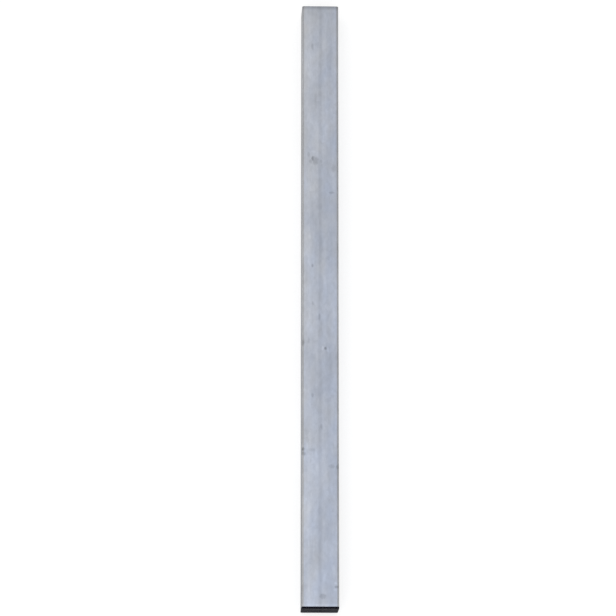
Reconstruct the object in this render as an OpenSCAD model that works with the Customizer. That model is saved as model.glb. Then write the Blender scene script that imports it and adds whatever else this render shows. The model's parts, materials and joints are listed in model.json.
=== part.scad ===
// Galvanized square-tube fence post with a ribbed plastic cap in one end.
// It lies on one side along Y: the capped end points to -Y, the open end to +Y.
// The origin is under the middle of the whole post, on the plane that it lies on.

/* [Tube] */
// Length of the tube from cut to cut
tube_l = 1000; // [300:50:3000]
// Outside width of the section
section_w = 60; // [40:5:120]
// Outside height of the section as the post lies
section_h = 60; // [40:5:120]
// Thickness of the steel wall
wall = 2; // [1.5:0.1:3]
// Outside radius of the roll-formed corners
corner_r = 4; // [3:0.5:8]
// Width of the deburred edge around each saw cut
edge_break = 0.3; // [0.1:0.1:0.8]

/* [Weld bead] */
// Width of the bead that the weld leaves inside the tube
bead_w = 2.6; // [1.5:0.1:5]
// Height of the bead above the inside of the wall
bead_h = 0.6; // [0.3:0.1:1.2]

/* [Cap head] */
// Thickness of the head that covers the cut end
head_t = 3; // [2.5:0.25:6]
// Radius of the head's upright corners
head_corner_r = 3; // [1.5:0.5:8]
// Radius of the soft edge around the outer face of the head
head_edge_r = 0.5; // [0.2:0.1:1.2]
// How far the head stays back from the outside of the tube
head_inset = 0; // [0:0.1:0.5]
// Thickness of the head's plate over the hollow plug
plate_t = 2.2; // [1.5:0.1:2.4]
// Diameter of the gate dimple in the middle of the outer face
gate_d = 7; // [4:0.5:12]
// Depth of the gate dimple
gate_depth = 0.4; // [0.2:0.1:0.6]
// Diameter of the stub that the moulding gate leaves in its dimple
stub_d = 1.6; // [1:0.2:3]
// How far the stub stays below the outer face
stub_below = 0.1; // [0.05:0.05:0.15]

/* [Cap plug] */
// Depth of the plug inside the tube
plug_depth = 22; // [16:1:40]
// Free space between the plug's root and the inside of the tube
plug_gap = 3.2; // [2:0.2:5]
// Radius of the plug's upright corners
plug_corner_r = 2; // [0.5:0.5:3]
// Thickness of the hollow plug's wall where it meets the head
plug_wall = 2.6; // [2:0.1:4]
// How far each side of the plug leans in from root to tip, for moulding
plug_draft = 0.4; // [0:0.1:0.8]
// Depth of the tapered nose that finds its way into the tube
nose_l = 3; // [1:0.5:6]
// How far each side of the nose leans in
nose_in = 1; // [0.4:0.1:2]
// Thickness of the plug's wall at the mouth
nose_wall = 1; // [0.6:0.1:2]
// Thickness of the two ribs that cross inside the plug
rib_t = 1.4; // [1:0.1:3]
// How far the ribs stop short of the plug's mouth
rib_back = 6; // [2:1:12]

/* [Cap fins] */
// Distance from the head's seat to the middle of the first fin's tip
fin_start = 3; // [2:0.5:6]
// Distance from one fin to the next
fin_pitch = 4.2; // [3:0.1:6]
// Thickness of a fin at its root
fin_root_t = 1.2; // [0.8:0.1:2]
// Thickness of a fin at its tip
fin_tip_t = 0.7; // [0.4:0.1:1.2]
// How far the tip is dragged back towards the head as the plug goes in
fin_sweep = 0.9; // [0:0.1:1.5]
// Air between a squeezed fin and the steel
fin_clearance = 0.05; // [0.02:0.01:0.3]
// Open corner between the fins of one side and the next, from the inside of the tube
fin_corner = 5.4; // [4:0.2:10]
// Air between the fins and the weld bead that runs past them
bead_clearance = 0.4; // [0.2:0.1:1]

/* [Hidden] */
$fn = 64;

// Inside of the tube, whose corners never get sharper than the least bend
least_bend = 0.5;
bore_w = section_w - 2 * wall;
bore_h = section_h - 2 * wall;
bore_r = max(corner_r - wall, least_bend);

// The tube starts behind the head, and the post as a whole is centred on the origin
tube_start = (head_t - tube_l) / 2;
section_mid = section_h / 2;

// Radius of the circle whose lowest part is the bead
bead_r = (pow(bead_w / 2, 2) + pow(bead_h, 2)) / (2 * bead_h);

// Head of the cap
head_w = section_w - 2 * head_inset;
head_h = section_h - 2 * head_inset;

// Plug of the cap at its root, and as many fins as its straight part has room for
plug_w = bore_w - 2 * plug_gap;
plug_h = bore_h - 2 * plug_gap;
fin_count = floor((plug_depth - nose_l - fin_start - fin_sweep) / fin_pitch) + 1;
// How far a fin's root is sunk into the plug's wall: past its draft, and a bite more
fin_bite = 0.4;
fin_sink = plug_draft + fin_bite;
// How far pieces of one solid run into each other, and cuts run past a face
overlap = 1;

// Half a side view, from the middle to half: a block from 0 to t with a chamfer at both ends.
module chamfered_half(half, t, edge) {
    polygon([[0, 0], [half - edge, 0], [half, edge], [half, t - edge], [half - edge, t], [0, t]]);
}

// Half a side view, from the middle to half: a block from 0 to t with a round upper edge.
module rounded_half(half, t, edge_r) {
    square([half, t - edge_r]);
    square([half - edge_r, t]);
    translate([half - edge_r, t - edge_r])
        circle(edge_r);
}

// A straight stretch of a bar, as long as length, whose two sides follow the half side view.
module bar_band(length) {
    translate([0, length / 2, 0])
        rotate([90, 0, 0])
            linear_extrude(length)
                for (side = [0, 1])
                    mirror([side, 0, 0])
                        children();
}

// Places a turned corner at each of the four upright edges of a w by h bar.
module bar_corners(w, h, r) {
    for (sx = [-1, 1], sy = [-1, 1])
        translate([sx * (w / 2 - r), sy * (h / 2 - r), 0])
            rotate_extrude()
                children();
}

// Rectangle with round corners, centred.
module rounded_rect(w, h, r) {
    square([w - 2 * r, h], center = true);
    square([w, h - 2 * r], center = true);
    for (sx = [-1, 1], sy = [-1, 1])
        translate([sx * (w / 2 - r), sy * (h / 2 - r)])
            circle(r);
}

// Lays a bar that stands on z = 0 down along +Y, at the height of the tube's middle.
module lie_down() {
    translate([0, tube_start, section_mid])
        rotate([-90, 0, 0])
            children();
}

// The outside of the tube, standing up, with the edges of both saw cuts broken.
module tube_outside() {
    bar_corners(section_w, section_h, corner_r)
        chamfered_half(corner_r, tube_l, edge_break);
    bar_band(section_h - 2 * corner_r)
        chamfered_half(section_w / 2, tube_l, edge_break);
    rotate([0, 0, 90])
        bar_band(section_w - 2 * corner_r)
            chamfered_half(section_h / 2, tube_l, edge_break);
}

// The bead that the weld leaves: a low hump along the middle of the upper wall, inside.
module weld_bead() {
    linear_extrude(tube_l)
        translate([0, -bore_h / 2])
            intersection() {
                translate([0, bead_h - bead_r])
                    circle(bead_r);
                translate([-bead_w / 2, -wall / 2])
                    square([bead_w, bead_h + wall / 2]);
            }
}

// The steel tube, open right through.
module post_tube() {
    color("#b0b6c1")
        lie_down() {
            difference() {
                tube_outside();
                translate([0, 0, -overlap])
                    linear_extrude(tube_l + 2 * overlap)
                        rounded_rect(bore_w, bore_h, bore_r);
            }
            weld_bead();
        }
}

// The head of the cap: a plate with round corners and a soft outer edge.
module head() {
    bar_corners(head_w, head_h, head_corner_r)
        rounded_half(head_corner_r, head_t, head_edge_r);
    bar_band(head_h - 2 * head_corner_r)
        rounded_half(head_w / 2, head_t, head_edge_r);
    rotate([0, 0, 90])
        bar_band(head_w - 2 * head_corner_r)
            rounded_half(head_h / 2, head_t, head_edge_r);
}

// The round dimple in the middle of the outer face, less the gate's stub that stands in it.
module gate_dimple() {
    translate([0, 0, head_t - gate_depth])
        difference() {
            cylinder(gate_depth + overlap, d = gate_d);
            cylinder(gate_depth - stub_below, d = stub_d);
        }
}

// Side view of the plug, across being its width at the root: drafted sides and a tapered nose.
module plug_side(across) {
    root = across / 2;
    tip = root - plug_draft;
    polygon([
        [-root, overlap], [root, overlap], [root, 0],
        [tip, nose_l - plug_depth], [tip - nose_in, -plug_depth],
        [nose_in - tip, -plug_depth], [-tip, nose_l - plug_depth], [-root, 0]
    ]);
}

// Side view of the hollow in the plug, which opens a little towards its mouth.
module hollow_side(across) {
    root = across / 2 - plug_wall;
    mouth = across / 2 - plug_draft - nose_in - nose_wall;
    polygon([
        [-root, head_t - plate_t], [root, head_t - plate_t],
        [mouth, -plug_depth], [mouth, -plug_depth - overlap],
        [-mouth, -plug_depth - overlap], [-mouth, -plug_depth]
    ]);
}

// The solid that looks like its first child along Y and like its second child along X.
module two_views(w, h) {
    intersection() {
        translate([0, h / 2, 0])
            rotate([90, 0, 0])
                linear_extrude(h)
                    children(0);
        translate([-w / 2, 0, 0])
            rotate([90, 0, 90])
                linear_extrude(w)
                    children(1);
    }
}

// The plug before it is hollowed.
module plug_body() {
    intersection() {
        two_views(plug_w, plug_h) {
            plug_side(plug_w);
            plug_side(plug_h);
        }
        translate([0, 0, -plug_depth])
            linear_extrude(plug_depth + overlap)
                rounded_rect(plug_w, plug_h, plug_corner_r);
    }
}

// Two thin ribs that cross inside the plug and keep its walls apart.
module cross_ribs() {
    rib_depth = plug_depth - rib_back;
    for (plan = [[plug_w - plug_wall, rib_t], [rib_t, plug_h - plug_wall]])
        translate([-plan[0] / 2, -plan[1] / 2, -rib_depth])
            cube([plan[0], plan[1], rib_depth + head_t - plate_t / 2]);
}

// The fins of one side: from the plug's root to reach, which is the inside of the steel.
module side_fins(root, reach, length) {
    inner = root - fin_sink;
    tip = reach - fin_clearance;
    for (i = [0 : fin_count - 1]) {
        tip_z = -fin_start - i * fin_pitch;
        root_z = tip_z - fin_sweep;
        rotate([90, 0, 0])
            linear_extrude(length, center = true)
                polygon([
                    [inner, root_z - fin_root_t / 2], [tip, tip_z - fin_tip_t / 2],
                    [tip, tip_z + fin_tip_t / 2], [inner, root_z + fin_root_t / 2]
                ]);
    }
}

// Fins on all four sides, notched where the weld bead runs past them.
module fins() {
    notch_w = bead_w + 2 * bead_clearance;
    notch_h = bead_h + bead_clearance;
    difference() {
        for (turn = [0, 180]) {
            rotate([0, 0, turn])
                side_fins(plug_w / 2, bore_w / 2, bore_h - 2 * fin_corner);
            rotate([0, 0, turn + 90])
                side_fins(plug_h / 2, bore_h / 2, bore_w - 2 * fin_corner);
        }
        translate([-notch_w / 2, -bore_h / 2 - overlap, -plug_depth])
            cube([notch_w, notch_h + overlap, plug_depth]);
    }
}

// The moulded cap. Its seat is at z = 0, its outer face is up and its plug hangs down.
module cap_upright() {
    difference() {
        union() {
            head();
            plug_body();
        }
        two_views(plug_w, plug_h) {
            hollow_side(plug_w);
            hollow_side(plug_h);
        }
        gate_dimple();
    }
    cross_ribs();
    fins();
}

// The cap in the tube's -Y end, with its head seated on the saw cut.
module end_cap() {
    color("#1e1e20")
        lie_down()
            rotate([0, 180, 0])
                cap_upright();
}

post_tube();
end_cap();
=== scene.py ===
# %% [markdown]
# # A galvanized fence post and its black cap
#
# The real thing is a square steel tube, roll-formed, welded along its length and
# galvanized. A black plastic cap with a ribbed plug closes one end. The other end is
# open. This lesson gives the two pieces their finished shape and surface in Blender,
# around a plain model of the same post that fixes every size and place.

# %% Load the plain model
import json
import math

import bpy
import bmesh
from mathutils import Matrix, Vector

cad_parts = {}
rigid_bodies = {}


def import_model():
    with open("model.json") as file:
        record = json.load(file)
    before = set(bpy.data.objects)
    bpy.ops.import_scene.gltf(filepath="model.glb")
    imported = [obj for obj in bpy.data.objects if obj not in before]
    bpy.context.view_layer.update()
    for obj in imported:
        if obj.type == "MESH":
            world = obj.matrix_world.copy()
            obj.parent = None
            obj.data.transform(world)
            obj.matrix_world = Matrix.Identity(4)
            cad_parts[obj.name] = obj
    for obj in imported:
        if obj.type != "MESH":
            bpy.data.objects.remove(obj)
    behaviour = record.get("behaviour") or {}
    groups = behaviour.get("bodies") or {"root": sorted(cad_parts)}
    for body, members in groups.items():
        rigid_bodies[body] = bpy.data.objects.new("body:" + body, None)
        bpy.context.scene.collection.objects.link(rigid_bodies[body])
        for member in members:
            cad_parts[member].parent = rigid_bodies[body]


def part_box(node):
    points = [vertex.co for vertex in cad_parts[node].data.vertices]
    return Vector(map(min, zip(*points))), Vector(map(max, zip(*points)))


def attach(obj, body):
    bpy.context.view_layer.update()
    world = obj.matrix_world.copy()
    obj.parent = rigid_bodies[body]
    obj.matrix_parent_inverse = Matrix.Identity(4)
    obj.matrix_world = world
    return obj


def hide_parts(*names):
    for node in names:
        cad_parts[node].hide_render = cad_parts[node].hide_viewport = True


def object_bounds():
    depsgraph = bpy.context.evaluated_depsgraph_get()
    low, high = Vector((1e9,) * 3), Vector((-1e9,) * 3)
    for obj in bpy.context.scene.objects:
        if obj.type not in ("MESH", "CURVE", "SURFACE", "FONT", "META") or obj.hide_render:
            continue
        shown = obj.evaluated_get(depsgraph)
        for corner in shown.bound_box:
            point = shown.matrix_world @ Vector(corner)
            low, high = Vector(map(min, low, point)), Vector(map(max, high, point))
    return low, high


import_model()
cad_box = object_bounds()
print("plain model from", cad_box[0], "to", cad_box[1])

# %% [markdown]
# ## Sizes
#
# Blender works in metres, and a workshop works in millimetres, so one value turns the
# second into the first. The sizes could all be written as numbers, but then they might
# drift away from the plain model. So its boxes give the overall sizes. Only what a box
# can't tell, such as the wall's thickness or the corner's radius, is a number here.

# %% Sizes of the tube and the cap
MM = 0.001

tube_low, tube_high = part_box("post_tube")
cap_low, cap_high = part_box("end_cap")

section_width = tube_high.x - tube_low.x
section_height = tube_high.z - tube_low.z
tube_length = tube_high.y - tube_low.y
post_middle = Vector((0, (tube_low.y + tube_high.y) / 2, (tube_low.z + tube_high.z) / 2))
seat_y = tube_low.y
open_end_y = tube_high.y

wall = 2 * MM
corner_radius = 4 * MM
edge_break = 0.3 * MM
bore_half = section_width / 2 - wall
print(f"tube {section_width / MM:.1f} x {section_height / MM:.1f} x {tube_length / MM:.1f} mm")

# %% [markdown]
# ## Colours
#
# Colours are picked as hex values, as on a screen. A screen value isn't linear, and the
# shader wants linear light, so one function turns the one into the other.

# %% From a screen colour to light
def linear(hex_colour):
    """Turns an sRGB hex colour into linear red, green, blue and a full alpha."""
    values = [int(hex_colour[i : i + 2], 16) / 255 for i in (0, 2, 4)]
    toe = 0.04045
    rgb = [v / 12.92 if v <= toe else ((v + 0.055) / 1.055) ** 2.4 for v in values]
    return (*rgb, 1.0)


print(f"a screen's middle grey, 808080, is {linear('808080')[0]:.2f} of full light")

# %% [markdown]
# ## One way to add a node
#
# Shapes and materials are both made of nodes here, and each node needs its settings and
# its links. One helper does that for a node of any kind, in any tree. An input gets a
# value, or the socket to link from. Most nodes are read at their first output, so a
# node can be given just as it is, which keeps the recipes below short.

# %% Add a node
def add_node(tree, kind, inputs=None, **settings):
    """Adds one node with its settings, and fills or links its inputs.

    An input may be a value, a socket to link from, or a node, read at its first output.
    """
    node = tree.nodes.new(kind)
    for name, value in settings.items():
        setattr(node, name, value)
    for key, value in (inputs or {}).items():
        if isinstance(value, bpy.types.Node):
            value = value.outputs[0]
        if isinstance(value, bpy.types.NodeSocket):
            tree.links.new(value, node.inputs[key])
        else:
            node.inputs[key].default_value = value
    return node


print("one helper for every node:", add_node.__name__)

# %% [markdown]
# ## Shapes that follow a rule
#
# A tree of Geometry Nodes is a recipe for a shape: sizes go in, a mesh comes out. The
# next two helpers start and end such a recipe. At its end the faces are made smooth, but
# a true edge, such as that of the saw cut, stays sharp.

# %% Start and end a recipe
sharp_angle = math.radians(32)


def start_recipe(name, sizes):
    """A geometry tree with one input for each size and one for the material."""
    tree = bpy.data.node_groups.new(name, "GeometryNodeTree")
    tree.interface.new_socket("Shape", in_out="OUTPUT", socket_type="NodeSocketGeometry")
    for size_name, value in sizes.items():
        kind = "NodeSocketInt" if isinstance(value, int) else "NodeSocketFloat"
        tree.interface.new_socket(size_name, in_out="INPUT", socket_type=kind)
    tree.interface.new_socket("Material", in_out="INPUT", socket_type="NodeSocketMaterial")
    print(f"{name}: {len(sizes)} sizes go in")
    return tree, add_node(tree, "NodeGroupInput").outputs


def end_recipe(tree, shape, material):
    """Smooths the faces but keeps true edges, makes instances real and sets the material."""
    smooth = add_node(tree, "GeometryNodeSetShadeSmooth", {"Geometry": shape})
    angle = add_node(tree, "GeometryNodeInputMeshEdgeAngle").outputs["Unsigned Angle"]
    inputs = {0: angle, 1: sharp_angle}
    true_edge = add_node(tree, "ShaderNodeMath", inputs, operation="GREATER_THAN")
    inputs = {"Geometry": smooth, "Selection": true_edge, "Shade Smooth": False}
    edges = add_node(tree, "GeometryNodeSetShadeSmooth", inputs, domain="EDGE")
    real = add_node(tree, "GeometryNodeRealizeInstances", {"Geometry": edges})
    inputs = {"Geometry": real, "Material": material}
    dressed = add_node(tree, "GeometryNodeSetMaterial", inputs)
    add_node(tree, "NodeGroupOutput", {"Shape": dressed})
    print(f"{tree.name}: a recipe of {len(tree.nodes)} nodes")


# %% [markdown]
# A recipe is live: it runs again whenever a size changes. Other programs can't read it,
# so the helper below runs it once and keeps only the plain mesh.

# %% Run a recipe
def run_recipe(tree, piece_name, sizes, material):
    """Runs the tree once and returns an object that holds the plain mesh."""
    piece = bpy.data.objects.new(piece_name, bpy.data.meshes.new(piece_name))
    bpy.context.scene.collection.objects.link(piece)
    modifier = piece.modifiers.new("Recipe", "NODES")
    modifier.node_group = tree
    for item in tree.interface.items_tree:
        if item.name in sizes:
            modifier[item.identifier] = sizes[item.name]
        if item.name == "Material":
            modifier[item.identifier] = material
    evaluated = piece.evaluated_get(bpy.context.evaluated_depsgraph_get())
    mesh = bpy.data.meshes.new_from_object(evaluated)
    piece.modifiers.remove(modifier)
    piece.data = mesh
    mesh.name = piece_name
    triangles = sum(len(face.vertices) - 2 for face in mesh.polygons)
    print(f"{piece_name}: {triangles} triangles")
    return piece


# %% [markdown]
# A long straight stretch has a point only at each end, and nothing between them can
# bend. This helper finds the long stretches of a curve, by the distance from each point
# to the next, and cuts only those, so that short stretches at the corners stay as they
# are.

# %% Cut the long stretches of a loop
def cut_long_stretches(tree, curve, cuts, longest):
    """Cuts each stretch of a curve that is longer than longest, and leaves the others."""
    here = add_node(tree, "GeometryNodeInputPosition")
    following = add_node(tree, "GeometryNodeOffsetPointInCurve", {"Offset": 1})
    inputs = {"Index": following.outputs["Point Index"], "Value": here}
    settings = {"data_type": "FLOAT_VECTOR", "domain": "POINT"}
    there = add_node(tree, "GeometryNodeFieldAtIndex", inputs, **settings)
    gap = add_node(tree, "ShaderNodeVectorMath", {0: here, 1: there}, operation="DISTANCE")
    inputs = {0: gap.outputs["Value"], 1: longest}
    is_long = add_node(tree, "ShaderNodeMath", inputs, operation="GREATER_THAN")
    number = add_node(tree, "ShaderNodeMath", {0: is_long, 1: cuts}, operation="MULTIPLY")
    print(f"stretches over {longest / MM:.0f} mm get {cuts} cuts")
    return add_node(tree, "GeometryNodeSubdivideCurve", {"Curve": curve, "Cuts": number})


# %% [markdown]
# ## The tube's wall
#
# Seen from its end, the tube is a wall of even thickness that runs round a rounded
# square. It could be a box with a smaller box cut out of it, but then the rounded corners
# and the deburred ends would each be extra work. So a thin strip is swept round the
# middle of the wall. That gives the outside, the bore and both cut ends at once, in one
# closed surface.
#
# The sizes come first. They are the inputs of the recipe, so a tube with another section
# only needs other numbers.

# %% Sizes of the tube's recipe
tube_sizes = {
    "Length": tube_length,
    "Width": section_width,
    "Height": section_height,
    "Wall": wall,
    "Corner radius": corner_radius,
    "Edge break": edge_break,
    "Bead width": 2.6 * MM,
    "Bead height": 0.6 * MM,
    "Wave depth": 0.12 * MM,
}
tube_recipe, size = start_recipe("Welded square tube", tube_sizes)

# %% [markdown]
# The middle line of the wall is a rectangle with filleted corners. It is half a wall
# smaller than the tube on each side. Its long sides are cut into short stretches, so that
# they can bend a little later on.

# %% The middle line of the wall
corner_facets = 12
cuts_across = 25
long_side = 5 * MM

middle_sizes = {}
for side in ("Width", "Height"):
    inputs = {0: size[side], 1: size["Wall"]}
    middle_sizes[side] = add_node(
        tube_recipe, "ShaderNodeMath", inputs, operation="SUBTRACT"
    )
middle_line = add_node(
    tube_recipe,
    "GeometryNodeCurvePrimitiveQuadrilateral",
    middle_sizes,
    mode="RECTANGLE",
)
inputs = {0: size["Wall"], 1: 0.5}
half_wall = add_node(tube_recipe, "ShaderNodeMath", inputs, operation="MULTIPLY")
inputs = {0: size["Corner radius"], 1: half_wall}
middle_radius = add_node(tube_recipe, "ShaderNodeMath", inputs, operation="SUBTRACT")
inputs = {"Curve": middle_line, "Count": corner_facets, "Radius": middle_radius}
rounded_line = add_node(tube_recipe, "GeometryNodeFilletCurve", inputs, mode="POLY")
wall_line = cut_long_stretches(tube_recipe, rounded_line, cuts_across, long_side)

# %% [markdown]
# The strip is as thick as the wall and as long as the tube. Its own corners are cut off a
# little, because a saw cut is deburred. Swept round the middle line, it gives a tube that
# stands on its end, so the tube is then laid down along Y.

# %% The strip, swept round
cuts_along = 120
long_edge = 50 * MM

inputs = {"Width": size["Wall"], "Height": size["Length"]}
strip = add_node(
    tube_recipe, "GeometryNodeCurvePrimitiveQuadrilateral", inputs, mode="RECTANGLE"
)
inputs = {"Curve": strip, "Count": 1, "Radius": size["Edge break"]}
deburred_strip = add_node(tube_recipe, "GeometryNodeFilletCurve", inputs, mode="POLY")
wall_strip = cut_long_stretches(tube_recipe, deburred_strip, cuts_along, long_edge)

inputs = {"Curve": wall_line, "Profile Curve": wall_strip}
standing_tube = add_node(tube_recipe, "GeometryNodeCurveToMesh", inputs)
lying_down = (math.radians(-90), 0, 0)
inputs = {"Geometry": standing_tube, "Translation": post_middle, "Rotation": lying_down}
lying_tube = add_node(tube_recipe, "GeometryNodeTransform", inputs)
print("each flat side of the wall is cut into", cuts_across + 1, "stretches")

# %% [markdown]
# Rolled and galvanized sheet is never quite flat. The rollers leave long shallow waves
# along it, about a tenth of a millimetre deep. They can't be seen as a shape, but they
# bend the light on the metal. A bump in the material could do that too, but the mesh
# would stay flat, and whoever uses it without the material would miss them. So each
# point of the mesh moves inwards by a soft noise that is stretched along the tube.

# %% Waves in the wall
wave_across = 22 * MM
wave_along = 160 * MM

place = add_node(tube_recipe, "GeometryNodeInputPosition")
inputs = {0: place, 1: (1 / wave_across, 1 / wave_along, 1 / wave_across)}
stretched_place = add_node(tube_recipe, "ShaderNodeVectorMath", inputs, operation="MULTIPLY")
inputs = {"Vector": stretched_place, "Scale": 1.0, "Detail": 1.0}
waves = add_node(tube_recipe, "ShaderNodeTexNoise", inputs)
inputs = {0: waves, 1: size["Wave depth"]}
depth = add_node(tube_recipe, "ShaderNodeMath", inputs, operation="MULTIPLY")
minus_depth = add_node(tube_recipe, "ShaderNodeMath", {0: depth, 1: -1.0}, operation="MULTIPLY")
outwards = add_node(tube_recipe, "GeometryNodeInputNormal")
inputs = {0: outwards, "Scale": minus_depth}
inwards = add_node(tube_recipe, "ShaderNodeVectorMath", inputs, operation="SCALE")
inputs = {"Geometry": lying_tube, "Offset": inwards}
wavy_tube = add_node(tube_recipe, "GeometryNodeSetPosition", inputs)
print(f"waves up to {tube_sizes['Wave depth'] / MM:.2f} mm deep")

# %% [markdown]
# The weld squeezes a low bead out of the joint, inside the tube. It is scarfed off
# outside and left inside, where it can be seen from the open end. It could be pulled out
# of the wall's own faces, but a bead of its own is simpler and can't tear the wall. So a
# flat oval is swept along the middle of the upper wall, sunk half into it. A noise lifts
# it a little here and there, because no weld is even.

# %% The weld bead, and the end of the recipe
bead_steps = 260
bead_facets = 14
bead_start = seat_y + 1 * MM
ripple_length = 6 * MM
ripple_height = 0.3 * MM

bead_z = post_middle.z + bore_half
inputs = {"Start": (0, bead_start, bead_z), "End": (0, open_end_y - edge_break, bead_z)}
bead_line = add_node(tube_recipe, "GeometryNodeCurvePrimitiveLine", inputs)
inputs = {"Curve": bead_line, "Count": bead_steps}
bead_points = add_node(tube_recipe, "GeometryNodeResampleCurve", inputs)
inputs = {"Resolution": bead_facets, "Radius": 0.5}
bead_oval = add_node(tube_recipe, "GeometryNodeCurvePrimitiveCircle", inputs)
inputs = {0: size["Bead height"], 1: 2.0}
oval_height = add_node(tube_recipe, "ShaderNodeMath", inputs, operation="MULTIPLY")
inputs = {"X": size["Bead width"], "Y": oval_height, "Z": 1.0}
oval_scale = add_node(tube_recipe, "ShaderNodeCombineXYZ", inputs)
inputs = {"Geometry": bead_oval, "Scale": oval_scale}
bead_profile = add_node(tube_recipe, "GeometryNodeTransform", inputs)
inputs = {"Curve": bead_points, "Profile Curve": bead_profile, "Fill Caps": True}
bead = add_node(tube_recipe, "GeometryNodeCurveToMesh", inputs)

inputs = {"Vector": place, "Scale": 1 / ripple_length, "Detail": 1.0}
ripples = add_node(tube_recipe, "ShaderNodeTexNoise", inputs)
inputs = {0: ripples, 1: ripple_height}
lift = add_node(tube_recipe, "ShaderNodeMath", inputs, operation="MULTIPLY")
upwards = add_node(tube_recipe, "ShaderNodeCombineXYZ", {"Z": lift})
inputs = {"Geometry": bead, "Offset": upwards}
uneven_bead = add_node(tube_recipe, "GeometryNodeSetPosition", inputs)

whole_tube = add_node(tube_recipe, "GeometryNodeJoinGeometry")
for part in (wavy_tube, uneven_bead):
    tube_recipe.links.new(part.outputs[0], whole_tube.inputs[0])
end_recipe(tube_recipe, whole_tube, size["Material"])
print(f"bead {tube_sizes['Bead width'] / MM:.1f} mm wide, in {bead_steps} points")

# %% [markdown]
# ## The cap's body
#
# The cap is one moulding: a head with soft edges, and behind it a hollow plug with a
# tapered nose. It could be boxes that are joined and cut by one another, but each joint
# would then need its own soft edge. Every cut across the cap is a rounded square, or a
# circle, which is a rounded square that is all corners. So the body is a stack of such
# outlines, each with its place along the tube, half its width and its corner radius. Put
# in the order in which a finger would run over the surface, from the middle of the head
# round its edge, along the plug and back inside it, they make one closed skin.

# %% A skin over a stack of rounded squares
CORNER_STEPS = 10


def rounded_square(shape, y, half, radius):
    """Adds the points of one rounded square at y to the mesh and returns them in order."""
    points = []
    for quarter in range(4):
        for step in range(CORNER_STEPS + 1):
            angle = math.pi / 2 * (quarter + step / CORNER_STEPS)
            side_x = 1 if quarter in (0, 3) else -1
            side_z = 1 if quarter in (0, 1) else -1
            x = side_x * (half - radius) + radius * math.cos(angle)
            z = side_z * (half - radius) + radius * math.sin(angle)
            points.append(shape.verts.new((x, y, post_middle.z + z)))
    return points


def skin_over(shape, outlines):
    """Joins each outline to the next with faces, and closes the first and the last."""
    loops = [rounded_square(shape, *outline) for outline in outlines]
    for one, other in zip(loops, loops[1:]):
        for i in range(len(one)):
            j = (i + 1) % len(one)
            shape.faces.new((one[i], one[j], other[j], other[i]))
    shape.faces.new(loops[0])
    shape.faces.new(loops[-1])


print("each outline has", 4 * (CORNER_STEPS + 1), "points")

# %% [markdown]
# In the middle of the head is a small round dimple, where the plastic came into the
# mould, with the stub of the broken-off gate. The dimple keeps the stub below the face,
# so that the post can stand on it.

# %% Outlines of the dimple
gate_radius = 3.5 * MM
gate_depth = 0.4 * MM
stub_radius = 0.8 * MM
stub_below = 0.1 * MM
sharp_edge = 0.12 * MM


def circle(depth, radius):
    """A round outline, so deep in the outer face: a rounded square that is all corners."""
    return (cap_low.y + depth, radius, radius)


dimple_outlines = [
    circle(stub_below, stub_radius - sharp_edge),
    circle(stub_below + sharp_edge, stub_radius),
    circle(gate_depth, stub_radius),
    circle(gate_depth, gate_radius - 3 * sharp_edge),
    circle(gate_depth - sharp_edge, gate_radius - sharp_edge),
    circle(sharp_edge, gate_radius - sharp_edge),
    circle(0, gate_radius + sharp_edge),
]
print(f"dimple {2 * gate_radius / MM:.0f} mm wide and {gate_depth / MM:.1f} mm deep")

# %% [markdown]
# The head covers the whole end of the tube. Its outer edge is rounded off, as the mould
# leaves it, and the edge on the tube's side is nearly sharp. A Bevel modifier could round
# them too, but here each edge needs its own radius, and a quarter circle in a few steps
# gives it.

# %% Outlines of the head
head_thickness = seat_y - cap_low.y
head_half = (cap_high.x - cap_low.x) / 2
head_corner = 3 * MM
soft_edge = 0.5 * MM
flat_border = 1 * MM
edge_steps = 8


def head_outline(y, inset):
    """An outline of the head, drawn in from its side by inset."""
    return (y, head_half - inset, head_corner - inset)


head_outlines = [head_outline(cap_low.y, soft_edge + flat_border)]
for step in range(edge_steps + 1):
    angle = math.pi / 2 * step / edge_steps
    back = soft_edge * (1 - math.cos(angle))
    head_outlines.append(head_outline(cap_low.y + back, soft_edge * (1 - math.sin(angle))))
head_outlines += [
    head_outline(cap_low.y + soft_edge + sharp_edge, 0),
    head_outline(seat_y - 2 * sharp_edge, 0),
    head_outline(seat_y - sharp_edge, 0),
    head_outline(seat_y, sharp_edge),
    head_outline(seat_y, 3 * sharp_edge),
]
print(f"head {head_thickness / MM:.1f} mm thick, in {len(head_outlines)} outlines")

# %% [markdown]
# The plug leaves room for the fins round it. It gets a little thinner towards its nose,
# which lets it out of the mould, and the nose is chamfered, which finds the way into the
# tube. It is hollow, because a thick moulding sinks and wastes plastic.

# %% Outlines of the plug and its hollow
plug_depth = cap_high.y - seat_y
nose_tip = seat_y + plug_depth
nose_start = nose_tip - 3 * MM
plug_half = bore_half - 3.2 * MM
tip_half = plug_half - 0.4 * MM
plug_corner = 2 * MM
root_fillet = 0.4 * MM
nose_chamfer = 1.1 * MM
chamfer_edge = 0.15 * MM
mouth_half = tip_half - 2 * MM
mouth_corner = 1 * MM
hollow_half = plug_half - 2.6 * MM
hollow_corner = 0.6 * MM
plate_thickness = 2.2 * MM
hollow_end = seat_y - head_thickness + plate_thickness

plug_outlines = [
    (seat_y, plug_half + root_fillet, plug_corner),
    (seat_y + root_fillet, plug_half, plug_corner),
    (nose_start, tip_half, plug_corner),
    (nose_tip - sharp_edge, tip_half - nose_chamfer + chamfer_edge, plug_corner),
    (nose_tip, tip_half - nose_chamfer, plug_corner),
    (nose_tip, mouth_half + sharp_edge, mouth_corner),
    (nose_tip - sharp_edge, mouth_half, mouth_corner),
    (hollow_end, hollow_half, hollow_corner),
]
cap_shape = bmesh.new()
skin_over(cap_shape, dimple_outlines + head_outlines + plug_outlines)
print(f"plug {plug_depth / MM:.1f} mm deep and {2 * plug_half / MM:.1f} mm wide")

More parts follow.
